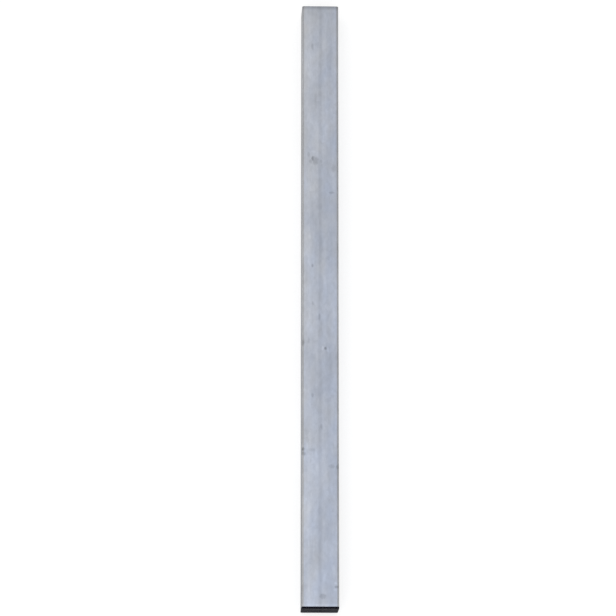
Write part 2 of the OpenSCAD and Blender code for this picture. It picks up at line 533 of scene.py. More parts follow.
# %% [markdown]
# Two thin ribs cross inside the hollow plug and keep its walls apart. They can't be part
# of the stack, which has no branches, so each is a box that reaches a little way into the
# plug's walls and its end. They stop short of the plug's mouth, and their free edges are a
# little round, as on every moulding.

# %% One rib
rib_half = 0.7 * MM
rib_reach = hollow_half + 0.8 * MM
rib_start = hollow_end - 0.5 * MM
rib_end = nose_tip - 6 * MM
rib_edge = 0.3 * MM


def add_rib(shape, reach_x, reach_z):
    """Adds one rib as a box that is reach_x and reach_z to each side of the middle."""
    made = bmesh.ops.create_cube(shape, size=1)["verts"]
    for vert in made:
        vert.co.x *= 2 * reach_x
        vert.co.y = rib_start if vert.co.y < 0 else rib_end
        vert.co.z = post_middle.z + vert.co.z * 2 * reach_z
    free_edges = {
        edge
        for vert in made
        if vert.co.y == rib_end
        for edge in vert.link_edges
        if all(end.co.y == rib_end for end in edge.verts)
    }
    bmesh.ops.bevel(
        shape, geom=list(free_edges), offset=rib_edge, segments=3, affect="EDGES"
    )
    print(f"rib {2 * max(reach_x, reach_z) / MM:.1f} mm wide, with its ends in the walls")


# %% [markdown]
# The ribs are added, one lying and one standing. Then all faces are turned outwards, and
# the mesh becomes an object. Its round parts are shaded smooth. Edges that turn by more
# than 50 degrees stay sharp, such as those where the hollow's wall meets its end.

# %% The finished cap body
cap_sharp_angle = math.radians(50)

add_rib(cap_shape, rib_reach, rib_half)
add_rib(cap_shape, rib_half, rib_reach)
bmesh.ops.recalc_face_normals(cap_shape, faces=cap_shape.faces)
cap_mesh = bpy.data.meshes.new("cap_body")
cap_shape.to_mesh(cap_mesh)
cap_shape.free()
cap_mesh.shade_smooth()
cap_mesh.set_sharp_from_angle(angle=cap_sharp_angle)
cap_body = bpy.data.objects.new("cap_body", cap_mesh)
bpy.context.scene.collection.objects.link(cap_body)
print("cap body:", len(cap_mesh.polygons), "faces")

# %% [markdown]
# ## The cap's fins
#
# Thin fins stand round the plug and press on the inside of the tube, so the cap holds by
# itself. There are sixteen, all alike, so a recipe draws one and repeats it. Its sizes
# follow those of the plug and the bore, so that the fins still fit if either changes.

# %% Sizes of the fins' recipe
fin_sizes = {
    "Fins a side": 4,
    "First fin": 3 * MM,
    "Pitch": 4.2 * MM,
    "Root": plug_half - 0.8 * MM,
    "Tip": bore_half - 0.05 * MM,
    "Length": 2 * (bore_half - 5.4 * MM),
    "Half root thickness": 0.6 * MM,
    "Half tip thickness": 0.35 * MM,
    "Sweep": 0.9 * MM,
    "Notch width": 3.4 * MM,
    "Notch depth": 1 * MM,
}
fin_recipe, size = start_recipe("Fins round a plug", fin_sizes)

# %% [markdown]
# One fin is a thin wedge, swept along one side of the plug. It leans back a little,
# because it is bent as the plug goes in. Its section has four corners, which are drawn
# first and then rounded.

# %% One fin
fin_edge = 0.2 * MM

wedge_corners = {}
for number, reach, sweep, half_thickness, side in (
    (1, size["Root"], size["Sweep"], size["Half root thickness"], 1.0),
    (2, size["Tip"], 0.0, size["Half tip thickness"], 1.0),
    (3, size["Tip"], 0.0, size["Half tip thickness"], -1.0),
    (4, size["Root"], size["Sweep"], size["Half root thickness"], -1.0),
):
    inputs = {0: half_thickness, 1: side, 2: sweep}
    along = add_node(fin_recipe, "ShaderNodeMath", inputs, operation="MULTIPLY_ADD")
    corner_place = add_node(fin_recipe, "ShaderNodeCombineXYZ", {"X": reach, "Y": along})
    wedge_corners[f"Point {number}"] = corner_place
fin_section = add_node(
    fin_recipe,
    "GeometryNodeCurvePrimitiveQuadrilateral",
    wedge_corners,
    mode="POINTS",
)
inputs = {"Curve": fin_section, "Count": 3, "Radius": fin_edge}
soft_section = add_node(fin_recipe, "GeometryNodeFilletCurve", inputs, mode="POLY")

fin_ends = {}
for end, share in (("Start", -0.5), ("End", 0.5)):
    inputs = {0: size["Length"], 1: share}
    reach = add_node(fin_recipe, "ShaderNodeMath", inputs, operation="MULTIPLY")
    fin_ends[end] = add_node(fin_recipe, "ShaderNodeCombineXYZ", {"Z": reach})
fin_line = add_node(fin_recipe, "GeometryNodeCurvePrimitiveLine", fin_ends)
inputs = {"Curve": fin_line, "Profile Curve": soft_section, "Fill Caps": True}
one_fin = add_node(fin_recipe, "GeometryNodeCurveToMesh", inputs)
print(f"one fin, {fin_sizes['Length'] / MM:.1f} mm long")

# %% [markdown]
# The fin is set on a line of points down the plug. That row is then set on four points
# that all lie in the middle, each turned a quarter further, which gives the four sides.

# %% The fins round the plug
first_place = add_node(fin_recipe, "ShaderNodeCombineXYZ", {"Y": size["First fin"]})
pitch_step = add_node(fin_recipe, "ShaderNodeCombineXYZ", {"Y": size["Pitch"]})
inputs = {"Count": size["Fins a side"], "Start Location": first_place, "Offset": pitch_step}
fin_places = add_node(fin_recipe, "GeometryNodeMeshLine", inputs)
inputs = {"Points": fin_places, "Instance": one_fin}
one_side = add_node(fin_recipe, "GeometryNodeInstanceOnPoints", inputs)

inputs = {"Count": 4, "Offset": (0, 0, 0)}
four_points = add_node(fin_recipe, "GeometryNodeMeshLine", inputs)
point_number = add_node(fin_recipe, "GeometryNodeInputIndex")
inputs = {0: point_number, 1: math.pi / 2}
quarter_turn = add_node(fin_recipe, "ShaderNodeMath", inputs, operation="MULTIPLY")
turned = add_node(fin_recipe, "ShaderNodeCombineXYZ", {"Y": quarter_turn})
inputs = {"Points": four_points, "Instance": one_side, "Rotation": turned}
four_sides = add_node(fin_recipe, "GeometryNodeInstanceOnPoints", inputs)
all_fins = add_node(fin_recipe, "GeometryNodeRealizeInstances", {"Geometry": four_sides})
print(4 * fin_sizes["Fins a side"], "fins in all")

# %% [markdown]
# The weld bead runs through the upper row, so a notch is cut there. The fins of that row
# could be drawn as two halves, but it is simpler to put a box in the notch's place and to
# take it away from the fins.

# %% The notch for the weld bead
inputs = {0: size["Notch depth"], 1: 2.0}
notch_height = add_node(fin_recipe, "ShaderNodeMath", inputs, operation="MULTIPLY")
inputs = {"X": size["Notch width"], "Y": 2 * plug_depth, "Z": notch_height}
notch_size = add_node(fin_recipe, "ShaderNodeCombineXYZ", inputs)
notch = add_node(fin_recipe, "GeometryNodeMeshCube", {"Size": notch_size})
inputs = {"Geometry": notch, "Translation": (0, 0, bore_half)}
placed_notch = add_node(fin_recipe, "GeometryNodeTransform", inputs)
notched_fins = add_node(
    fin_recipe,
    "GeometryNodeMeshBoolean",
    {0: all_fins, 1: placed_notch},
    operation="DIFFERENCE",
    solver="EXACT",
)
inputs = {"Geometry": notched_fins, "Translation": (0, seat_y, post_middle.z)}
placed_fins = add_node(fin_recipe, "GeometryNodeTransform", inputs)
end_recipe(fin_recipe, placed_fins, size["Material"])
print(f"notch {fin_sizes['Notch width'] / MM:.1f} mm wide, for the weld bead")

# %% [markdown]
# ## Patterns in millimetres
#
# The surface could come from an image, but an image has a seam and a fixed sharpness.
# Noise that is worked out at each point has neither. Every pattern below is sized in
# millimetres, on the place of a point in the object's own space, so a crystal is as large
# on the tube as it is in the hand.
#
# The basic pattern is a soft noise, shrunk along each axis by the size of its patches, so
# one helper gives round blotches, long streaks and fine grain. Raw noise stays mostly
# between 0.25 and 0.75. Four times that, less two, lies about zero, mostly from -1 to 1,
# so a strength of 0.05 means five per cent up or down.

# %% Noise with a real size
def in_millimetres(tree):
    """The place of a surface point in the object's own space, in millimetres."""
    metres = add_node(tree, "ShaderNodeTexCoord").outputs["Object"]
    inputs = {0: metres, 1: (1 / MM, 1 / MM, 1 / MM)}
    return add_node(tree, "ShaderNodeVectorMath", inputs, operation="MULTIPLY")


def blotches(tree, place_mm, size_mm, detail=1.0, start=0.0):
    """Soft noise about zero. size_mm is the size of its blotches along X, Y and Z.

    The noise has no end, and start picks the stretch of it that is used.
    """
    inputs = {0: place_mm, 1: [1 / s for s in size_mm], 2: (start, start, start)}
    shrunk = add_node(tree, "ShaderNodeVectorMath", inputs, operation="MULTIPLY_ADD")
    inputs = {"Vector": shrunk, "Scale": 1.0, "Detail": detail}
    noise = add_node(tree, "ShaderNodeTexNoise", inputs)
    inputs = {0: noise, 1: 4.0, 2: -2.0}
    return add_node(tree, "ShaderNodeMath", inputs, operation="MULTIPLY_ADD")


print(f"the open end, at {open_end_y:.4f} m, reads {open_end_y / MM:.1f} mm in a pattern")

# %% [markdown]
# A mark on the metal is a soft spot: fully there at its centre and gone at an uneven
# oval edge. It is used many times, so it is made once, as a node group of its own. The
# distance to the centre is counted in half sizes of the spot, so 1 lies near its edge,
# and a little noise pushes that edge in and out. A Map Range node turns this distance
# into a mask, which is 0 from the first limit on and 1 within the second, and goes softly
# from one to the other between them.

# %% The soft spot
spot_gone = 1.2
spot_full = 0.4
edge_raggedness = 0.2
ragged_size_mm = (2.5, 4, 2.5)


def make_soft_spot():
    """A group that is 1 at a centre and fades to 0 at an uneven oval edge."""
    group = bpy.data.node_groups.new("Soft spot", "ShaderNodeTree")
    for name in ("Place", "Centre", "Half size"):
        group.interface.new_socket(name, in_out="INPUT", socket_type="NodeSocketVector")
    group.interface.new_socket("Mask", in_out="OUTPUT", socket_type="NodeSocketFloat")
    given = add_node(group, "NodeGroupInput").outputs
    inputs = {0: given["Place"], 1: given["Centre"]}
    away = add_node(group, "ShaderNodeVectorMath", inputs, operation="SUBTRACT")
    inputs = {0: away, 1: given["Half size"]}
    oval = add_node(group, "ShaderNodeVectorMath", inputs, operation="DIVIDE")
    reach = add_node(group, "ShaderNodeVectorMath", {0: oval}, operation="LENGTH")
    ragged = blotches(group, given["Place"], ragged_size_mm)
    inputs = {0: ragged, 1: edge_raggedness, 2: reach.outputs["Value"]}
    edge = add_node(group, "ShaderNodeMath", inputs, operation="MULTIPLY_ADD")
    inputs = {"Value": edge, "From Min": spot_gone, "From Max": spot_full}
    mask = add_node(group, "ShaderNodeMapRange", inputs, interpolation_type="SMOOTHSTEP")
    add_node(group, "NodeGroupOutput", {"Mask": mask})
    return group


soft_spot = make_soft_spot()
print("the soft spot has", len(soft_spot.nodes), "nodes")

# %% [markdown]
# A list of marks is then laid over the metal. Where two of them meet, the stronger one
# shows, because a second rub on the same place doesn't darken it twice. A spot is a small
# blob in space. So it bends round a corner with the metal, and it also goes through the
# wall to its inside, where it is hardly seen.

# %% Lay spots on the metal
spot_half_height = 4


def spots(tree, place_mm, marks):
    """The strongest of several soft spots at each point, each with its own strength."""
    strongest = 0.0
    for x, y, z, half_width, half_length, strength in marks:
        inputs = {
            "Place": place_mm,
            "Centre": (x, y, z),
            "Half size": (half_width, half_length, spot_half_height),
        }
        spot = add_node(tree, "ShaderNodeGroup", inputs, node_tree=soft_spot)
        weighted = add_node(tree, "ShaderNodeMath", {0: spot, 1: strength}, operation="MULTIPLY")
        inputs = {0: strongest, 1: weighted}
        strongest = add_node(tree, "ShaderNodeMath", inputs, operation="MAXIMUM")
    return strongest


print("each spot is a blob", 2 * spot_half_height, "mm high")

# %% [markdown]
# Zinc freezes into crystals, each with its own tone and a ragged border. A pattern of
# cells gives the crystals, and a chance number for each one that sets its tone. The
# borders of such cells are straight, so the place is pushed about by a noise before the
# cells are looked up.

# %% The zinc's crystals
crystal_size_mm = (7, 10, 7)
border_noise_mm = 2.5
border_push_mm = 4


def crystal_cells(tree, place_mm):
    """The pushed place, and three chance numbers for the crystal that it lies in."""
    inputs = {0: place_mm, 1: [1 / border_noise_mm] * 3}
    finer = add_node(tree, "ShaderNodeVectorMath", inputs, operation="MULTIPLY")
    inputs = {"Vector": finer, "Scale": 1.0, "Detail": 2.0}
    ragged = add_node(tree, "ShaderNodeTexNoise", inputs).outputs["Color"]
    inputs = {0: ragged, 1: [border_push_mm] * 3, 2: place_mm}
    pushed = add_node(tree, "ShaderNodeVectorMath", inputs, operation="MULTIPLY_ADD")
    inputs = {0: pushed, 1: [1 / s for s in crystal_size_mm]}
    shrunk = add_node(tree, "ShaderNodeVectorMath", inputs, operation="MULTIPLY")
    inputs = {"Vector": shrunk, "Scale": 1.0}
    crystals = add_node(tree, "ShaderNodeTexVoronoi", inputs).outputs["Color"]
    return pushed, add_node(tree, "ShaderNodeSeparateColor", {0: crystals}).outputs


print("crystals of about", " x ".join(str(s) for s in crystal_size_mm), "mm")

# %% [markdown]
# Feathered lines run across each crystal in its own direction, because it grew that way.
# They are waves along a line that a second chance number turns. The real lines are only
# a few tenths of a millimetre apart, and are drawn at 1.1 mm so that they can be seen.

# %% The feathers of a crystal
feather_pitch_mm = 1.1


def feather_lines(tree, place_mm, chance):
    """Waves about zero, across a direction that the chance number turns."""
    axes = add_node(tree, "ShaderNodeSeparateXYZ", {0: place_mm}).outputs
    inputs = {0: axes["X"], 1: axes["Z"]}
    across = add_node(tree, "ShaderNodeMath", inputs, operation="ADD")
    turn = add_node(tree, "ShaderNodeMath", {0: chance, 1: math.pi}, operation="MULTIPLY")
    cosine = add_node(tree, "ShaderNodeMath", {0: turn}, operation="COSINE")
    sine = add_node(tree, "ShaderNodeMath", {0: turn}, operation="SINE")
    inputs = {0: across, 1: cosine}
    share_across = add_node(tree, "ShaderNodeMath", inputs, operation="MULTIPLY")
    inputs = {0: axes["Y"], 1: sine}
    share_along = add_node(tree, "ShaderNodeMath", inputs, operation="MULTIPLY")
    inputs = {0: share_across, 1: share_along}
    travelled = add_node(tree, "ShaderNodeMath", inputs, operation="ADD")
    inputs = {0: travelled, 1: math.tau / feather_pitch_mm}
    wave = add_node(tree, "ShaderNodeMath", inputs, operation="MULTIPLY")
    return add_node(tree, "ShaderNodeMath", {0: wave}, operation="SINE")


print(f"{crystal_size_mm[1] / feather_pitch_mm:.0f} feathers along a crystal")

# %% [markdown]
# Scratches are long, thin and few. They could be drawn one by one, but there are
# hundreds. So they come from a noise that is stretched so far that its blotches are
# lines, of which only the highest are kept. The pattern leans a little off the length of
# the post, because nothing that drags over it keeps quite straight. Most real scratches
# are a tenth of a millimetre wide or less. These are drawn wider, so that they can be
# seen.

# %% Scratches
scratch_softness = 0.2
scratch_kinds = (
    {"lean": 0.05, "size_mm": (0.9, 38, 0.9), "rarity": 0.95},
    {"lean": -0.09, "size_mm": (0.9, 26, 0.9), "rarity": 1.0},
)


def scratches(tree, place_mm, lean, size_mm, rarity):
    """1 along thin scratches that lean off the length, and 0 elsewhere."""
    along = add_node(tree, "ShaderNodeSeparateXYZ", {0: place_mm}).outputs["Y"]
    inputs = {0: along, 1: (lean, 0, lean), 2: place_mm}
    leaning = add_node(tree, "ShaderNodeVectorMath", inputs, operation="MULTIPLY_ADD")
    lines = blotches(tree, leaning, size_mm, detail=0.0)
    inputs = {"Value": lines, "From Min": rarity, "From Max": rarity + scratch_softness}
    return add_node(tree, "ShaderNodeMapRange", inputs, interpolation_type="SMOOTHSTEP")


for kind in scratch_kinds:
    lean_angle = math.degrees(math.atan(kind["lean"]))
    print(f"scratches that lean {lean_angle:.1f} degrees off the length")

# %% [markdown]
# ## The marks of the yard
#
# A post picks up marks in the yard. There is one dark rub, where a strap or another post
# lay, and the edges are grazed. The marks could be painted on by hand. Here each is
# written down by its place, its half width and half length, all in millimetres, and how
# strongly it shows, so that each can be moved or left out. Most grazes lie on the rounded
# corners, a millimetre below the upper side.

# %% The rub and the grazes
TOP = section_height / MM

rub = [
    (-12.5, 239, TOP, 2.6, 5, 0.34),
    (-8, 235, TOP, 5.5, 8, 0.19),
    (-19.5, 246, TOP, 2.5, 5, 0.14),
    (-16, 234, TOP, 3, 4, 0.13),
    (1.5, 234, TOP, 3, 3, 0.08),
]
grazes = [
    (-28, -245, TOP - 1, 3, 3.5, 0.37),
    (-27, -252, TOP - 1, 4, 4, 0.19),
    (-28, -70, TOP - 1, 3, 7, 0.22),
    (27.5, -274, TOP - 1, 3.5, 4, 0.21),
    (26, -467, TOP - 1, 4, 2.6, 0.23),
    (22.5, 222, TOP, 5, 7, 0.10),
]
print(len(rub), "spots make the rub, and there are", len(grazes), "grazes")

# %% [markdown]
# Small dents lie all along the upper side. A dent is painted dark in its middle, a
# painted shade, and the metal beside it a little brighter, a painted highlight; the
# hollow itself is in the relief. Some bright spots stand alone.

# %% The dents and the bright spots
dents = [
    (8.3, -79.5, TOP, 2.4, 2.8, 0.31),
    (-12.8, 58, TOP, 2.4, 3.2, 0.23),
    (4, -482, TOP, 6.5, 5, 0.17),
    (-1.6, -28, TOP, 2.4, 7, 0.14),
    (-12.2, -5, TOP, 2, 4, 0.14),
    (-12.7, -157, TOP, 2.4, 4, 0.17),
    (-13, 431, TOP, 2.4, 6, 0.15),
    (18.5, 181, TOP, 5, 2.2, 0.16),
    (18.5, -273, TOP, 6, 4, 0.11),
    (1.6, -208, TOP, 2.2, 5, 0.12),
    (-19, -67, TOP, 2, 6, 0.10),
    (-14, -246, TOP, 6, 3, 0.08),
]
bright_spots = [
    # the first two are a painted highlight on the rim of the first dent
    (3.8, -79, TOP, 2.6, 4, 0.15),
    (12, -82, TOP, 2, 5, 0.14),
    (-11, 251, TOP, 4, 2.5, 0.08),
    (24, -237, TOP, 2.5, 6, 0.07),
    (24, -461, TOP, 3.5, 2, 0.08),
    (23, -472, TOP, 4, 2.5, 0.07),
    (-22, -240, TOP, 3, 8, 0.08),
    (-25.5, -120, TOP, 2.5, 7, 0.06),
    (-17.5, 106, TOP, 3, 4, 0.07),
    (-18, -491, TOP, 8, 5, 0.08),
]
print(len(dents), "dents and", len(bright_spots), "bright spots")

# %% [markdown]
# A dent is both a hollow and a painted shade. So the dents' mask is kept apart for the
# relief, and joined with the other dark marks for the colour, where it paints the shade.

# %% Put the marks on the zinc
def yard_marks(tree, place_mm):
    """The dents, all the dark marks together with the dents' painted shade, and the bright ones.
    """
    dented = spots(tree, place_mm, dents)
    inputs = {0: dented, 1: spots(tree, place_mm, rub + grazes)}
    dark = add_node(tree, "ShaderNodeMath", inputs, operation="MAXIMUM")
    print(len(rub + grazes + dents), "dark marks laid on the zinc")
    return {"dented": dented, "dark": dark, "bright": spots(tree, place_mm, bright_spots)}


# %% [markdown]
# ## Galvanized steel
#
# Zinc on steel is a metal, so it has almost no colour of its own under the light: it
# shows the room, greyed and blurred. Its base colour is a light bluish grey. One even
# grey metal would look like paint. The crystals, the rolling and the handling make it
# lighter, darker, bluer or duller in patches, and these patches are what tells zinc from
# grey paint.
#
# The first patterns lie all over the tube: clouds in the zinc, patches in the clouds and
# a finer mottle, all longer along the rolling direction, faint streaks and fine lines
# that the rollers left, an orange peel from the zinc, the crystals, and scratches that
# lean two ways. The rolling lines are really finer, and are drawn 0.8 mm wide so that
# they can be seen. Noise has no end, so the clouds and the patches start at a number
# each. Many were tried, and these two put the broad light and dark areas about where the
# real post has them.

# %% The patterns all over the zinc
cloud_start = 444.5
patch_start = 743


def zinc_patterns(tree, place_mm):
    """The patterns that the zinc has everywhere, by name."""
    pushed, chances = crystal_cells(tree, place_mm)
    # A chance number lies between 0 and 1. This one is spread from -1 to 1, about zero.
    inputs = {0: chances[0], 1: 2.0, 2: -1.0}
    crystal = add_node(tree, "ShaderNodeMath", inputs, operation="MULTIPLY_ADD")
    one_way, other_way = (scratches(tree, place_mm, **kind) for kind in scratch_kinds)
    inputs = {0: one_way, 1: other_way}
    scratched = add_node(tree, "ShaderNodeMath", inputs, operation="MAXIMUM")
    patterns = {
        "clouds": blotches(tree, place_mm, (45, 110, 45), start=cloud_start),
        "patches": blotches(tree, place_mm, (13, 40, 13), start=patch_start),
        "mottle": blotches(tree, place_mm, (5, 9, 5), detail=2.0),
        "streaks": blotches(tree, place_mm, (5, 300, 5)),
        "rolling_lines": blotches(tree, place_mm, (0.8, 90, 0.8)),
        "orange_peel": blotches(tree, place_mm, (1.6, 2.4, 1.6), detail=2.0),
        "crystal": crystal,
        "feathers": feather_lines(tree, pushed, chances[1]),
        "scratched": scratched,
    }
    print(len(patterns), "patterns all over the zinc:", ", ".join(patterns))
    return patterns


# %% [markdown]
# The inside of the tube and its rounded corners look different from its flats. They
# could have materials of their own, but then a hard border would lie between them. So
# where a point lies on the section is worked out from its distance to the middle: folded
# into one quarter, what reaches beyond the straight sides lies in the corner. How far it
# reaches tells how deep the point lies in the wall, and the shorter of its two parts
# tells how far it has come round the corner.

# %% Where on the section a point lies
middle_height_mm = post_middle.z / MM
straight_half_mm = (section_width / 2 - corner_radius) / MM


def section_measures(tree, place_mm):
    """How deep a point lies in the wall, and how far round a corner, in millimetres."""
    inputs = {0: place_mm, 1: (0, 0, middle_height_mm)}
    centred = add_node(tree, "ShaderNodeVectorMath", inputs, operation="SUBTRACT")
    inputs = {0: centred, 1: (1, 0, 1)}
    flat = add_node(tree, "ShaderNodeVectorMath", inputs, operation="MULTIPLY")
    folded = add_node(tree, "ShaderNodeVectorMath", {0: flat}, operation="ABSOLUTE")
    inputs = {0: folded, 1: (straight_half_mm, 0, straight_half_mm)}
    beyond = add_node(tree, "ShaderNodeVectorMath", inputs, operation="SUBTRACT")
    inputs = {0: beyond, 1: (0, 0, 0)}
    corner_part = add_node(tree, "ShaderNodeVectorMath", inputs, operation="MAXIMUM")
    reach = add_node(tree, "ShaderNodeVectorMath", {0: corner_part}, operation="LENGTH")
    inputs = {0: corner_radius / MM, 1: reach.outputs["Value"]}
    depth = add_node(tree, "ShaderNodeMath", inputs, operation="SUBTRACT")
    parts = add_node(tree, "ShaderNodeSeparateXYZ", {0: corner_part}).outputs
    inputs = {0: parts["X"], 1: parts["Z"]}
    return depth, add_node(tree, "ShaderNodeMath", inputs, operation="MINIMUM")


print(f"the straight part of a side is {2 * straight_half_mm:.0f} mm wide")

# %% [markdown]
# Near the ends the zinc gets a painted shade along the edge of the open end, and a
# painted highlight in a band beside the cap. So each point's distance from either end is
# measured, and the shorter one finds the cut faces.

# %% How far a point is from the ends
def end_distances(tree, y):
    """How far a point is from the open end, from the cap, and from the nearer one."""
    inputs = {0: open_end_y / MM, 1: y}
    from_open_end = add_node(tree, "ShaderNodeMath", inputs, operation="SUBTRACT")
    inputs = {0: y, 1: seat_y / MM}
    from_cap = add_node(tree, "ShaderNodeMath", inputs, operation="SUBTRACT")
    inputs = {0: from_open_end, 1: from_cap}
    from_cut = add_node(tree, "ShaderNodeMath", inputs, operation="MINIMUM")
    return from_open_end, from_cap, from_cut


print(f"from {seat_y / MM:.1f} mm at the cap to {open_end_y / MM:.1f} mm at the open end")

# %% [markdown]
# Along the upper side run the scarfed weld line in the middle, and beside it a dull and
# a polished band from the rolls. Inside, the weld's heat left a wider band. Each is given
# by its place across the post and its half width. It is at its strongest only near its
# middle line, and fades from there to its edge.

# %% The bands along the tube
bands_mm = {
    "weld_line": (0, 5),
    "dull_line": (14.5, 7),
    "polished_line": (-19, 7),
    "heated_line": (0, 8),
}
full_share = 0.12


def band_limits(tree, x):
    """For each band, the distance from its middle line and the limits on it."""
    limits = {}
    for name, (centre, half_width) in bands_mm.items():
        offset = add_node(tree, "ShaderNodeMath", {0: x, 1: centre}, operation="SUBTRACT")
        away = add_node(tree, "ShaderNodeMath", {0: offset}, operation="ABSOLUTE")
        limits[name] = (away, half_width, full_share * half_width)
    return limits


print(len(bands_mm), "bands along the tube")

# %% [markdown]
# Much of a surface is tied to a place: the upper side, a corner, the strip near the saw
# cut. Such a zone is a mask, which is 0 outside it and 1 inside it. A hard border would
# look cut out, so the mask goes softly from one to the other between two limits. Each
# zone is given in a table by what is measured and by its two limits, so many zones can
# be made at once.

# %% Soft zones
def soft_zones(tree, limits):
    """A mask for each named zone: 0 at its first limit and 1 at its second, soft between."""
    zones = {}
    for name, (measure, outside, inside) in limits.items():
        inputs = {"Value": measure, "From Min": outside, "From Max": inside}
        zones[name] = add_node(
            tree, "ShaderNodeMapRange", inputs, interpolation_type="SMOOTHSTEP"
        )
    return zones


quarter_way = 0.25
print("a quarter of the way in, a mask is at", 3 * quarter_way**2 - 2 * quarter_way**3)

# %% [markdown]
# Now the zones themselves, with all their limits in millimetres. Towards the cap the
# sides get a painted shade and the crest of the left corner a painted highlight, from an
# uneven line on, so the patches push that line to and fro.

# %% The zones of the tube
capped_end_line_push_mm = 40


def simple_zones(tree, place_mm, patches):
    """Masks for the zones that have one measure each, by name."""
    axes = add_node(tree, "ShaderNodeSeparateXYZ", {0: place_mm}).outputs
    x, y, z = axes["X"], axes["Y"], axes["Z"]
    depth, round_corner = section_measures(tree, place_mm)
    from_open_end, from_cap, from_cut = end_distances(tree, y)
    inputs = {0: patches, 1: capped_end_line_push_mm, 2: y}
    uneven_y = add_node(tree, "ShaderNodeMath", inputs, operation="MULTIPLY_ADD")
    limits = {
        "inside": (depth, 1.2, 1.7),
        "corner": (round_corner, 0.2, 1.6),
        "crest": (round_corner, 1.7, 2.5),
        "on_top": (z, TOP - 3, TOP - 1),
        # below the upper side, where the zinc gets a painted shade
        "below_top": (z, TOP - 2, TOP - 5),
        "on_side": (z, TOP - 1, TOP - 3.5),
        "upper_wall": (z, TOP - 4, TOP - 3),
        "left_half": (x, 5, -5),
        # the zone near the capped end, where the sides get a painted shade and one crest a
        # painted highlight
        "capped_end_zone": (uneven_y, -200, -420),
        "cut_face": (from_cut, 0.26, 0.16),
        # painted shade along the edge of the open end
        "open_end_edge_shade": (from_open_end, 8, 1),
        "greyed_by_saw": (from_open_end, 34, 4),
        # painted highlight in a band beside the cap
        "highlight_beside_cap": (from_cap, 5.5, 3.5),
    }
    print(len(limits), "simple zones:", ", ".join(limits))
    return soft_zones(tree, limits | band_limits(tree, x))


# %% [markdown]
# Some zones lie only where others meet. The weld line shows on the upper side alone, so
# its mask is multiplied by that of the upper side: the product is 1 only where both are.

# %% Zones that lie where others meet
meeting_zones = {
    "weld": ("weld_line", "on_top"),
    "dull_band": ("dull_line", "on_top"),
    "polished_band": ("polished_line", "on_top"),
    "heated": ("heated_line", "upper_wall", "inside"),
    # painted shade: the sides are darker near the cap
    "side_shade_near_cap": ("on_side", "capped_end_zone"),
    # painted highlight: a light line on the crest of the left corner near the cap
    "crest_highlight": ("crest", "capped_end_zone", "left_half"),
}


def tube_zones(tree, place_mm, patches):
    """Masks for all the zones of the tube, by name."""
    zones = simple_zones(tree, place_mm, patches)
    for name, (first, *others) in meeting_zones.items():
        zone = zones[first]
        for other in others:
            inputs = {0: zone, 1: zones[other]}
            zone = add_node(tree, "ShaderNodeMath", inputs, operation="MULTIPLY")
        zones[name] = zone
    return zones


print(len(meeting_zones), "zones lie where others meet")

# %% [markdown]
# Four patterns need the place of a point as well. The scarfing tool left chatter across
# the weld, about 1.6 mm apart. The saw's teeth left lines on the cut. And two slow slopes
# run over the whole post, to the left and towards the cap: on the lightness they are
# painted light, lighter to the left and towards the cap as the lamp falls, and on the
# greyness they change the zinc's tone.

# %% The patterns that follow the post
chatter_pitch_mm = 1.6
saw_line_size_mm = (16, 1, 0.5)


def placed_patterns(tree, place_mm, weld):
    """The patterns that depend on where on the post a point lies, by name."""
    axes = add_node(tree, "ShaderNodeSeparateXYZ", {0: place_mm}).outputs
    inputs = {0: axes["Y"], 1: math.tau / chatter_pitch_mm}
    wave = add_node(tree, "ShaderNodeMath", inputs, operation="MULTIPLY")
    ripples = add_node(tree, "ShaderNodeMath", {0: wave}, operation="SINE")
    patterns = {"saw_lines": blotches(tree, place_mm, saw_line_size_mm)}
    for name, inputs in {
        "chatter": {0: ripples, 1: weld},
        "leftwards": {0: axes["X"], 1: -2 * MM / section_width},
        "towards_cap": {0: axes["Y"], 1: -2 * MM / tube_length},
    }.items():
        patterns[name] = add_node(tree, "ShaderNodeMath", inputs, operation="MULTIPLY")
    return patterns


print(f"{tube_length / MM / chatter_pitch_mm:.0f} ripples of chatter along the weld")

# %% [markdown]
# Patterns are used in two ways. The lightness of a surface is multiplied by each of them,
# as one coat of tint lies over another. A roughness or a height is raised or lowered by
# each. Both helpers read the strengths from a table, so that a finish can be tuned in one
# place.

# %% Patterns with strengths
def shaded_by(tree, patterns, strengths):
    """One lightness from all the named patterns, each with its own strength."""
    lightness = 1.0
    for name, strength in strengths.items():
        inputs = {0: patterns[name], 1: strength, 2: 1.0}
        shade = add_node(tree, "ShaderNodeMath", inputs, operation="MULTIPLY_ADD")
        inputs = {0: lightness, 1: shade}
        lightness = add_node(tree, "ShaderNodeMath", inputs, operation="MULTIPLY")
    return lightness


def raised_by(tree, level, patterns, strengths):
    """A level that each of the named patterns raises or lowers by its own strength."""
    for name, strength in strengths.items():
        inputs = {0: patterns[name], 1: strength, 2: level}
        level = add_node(tree, "ShaderNodeMath", inputs, operation="MULTIPLY_ADD")
    return level


print(f"two patterns that each darken by 10 % leave {0.9 * 0.9:.2f} of the light")

# %% [markdown]
# Here is how strongly each pattern lightens the zinc, or darkens it where the number is
# below zero. Of those that lie all over the tube, the clouds and the patches count most.
# The others are faint: a single one can hardly be told, but together they keep the zinc
# from looking like one flat coat.

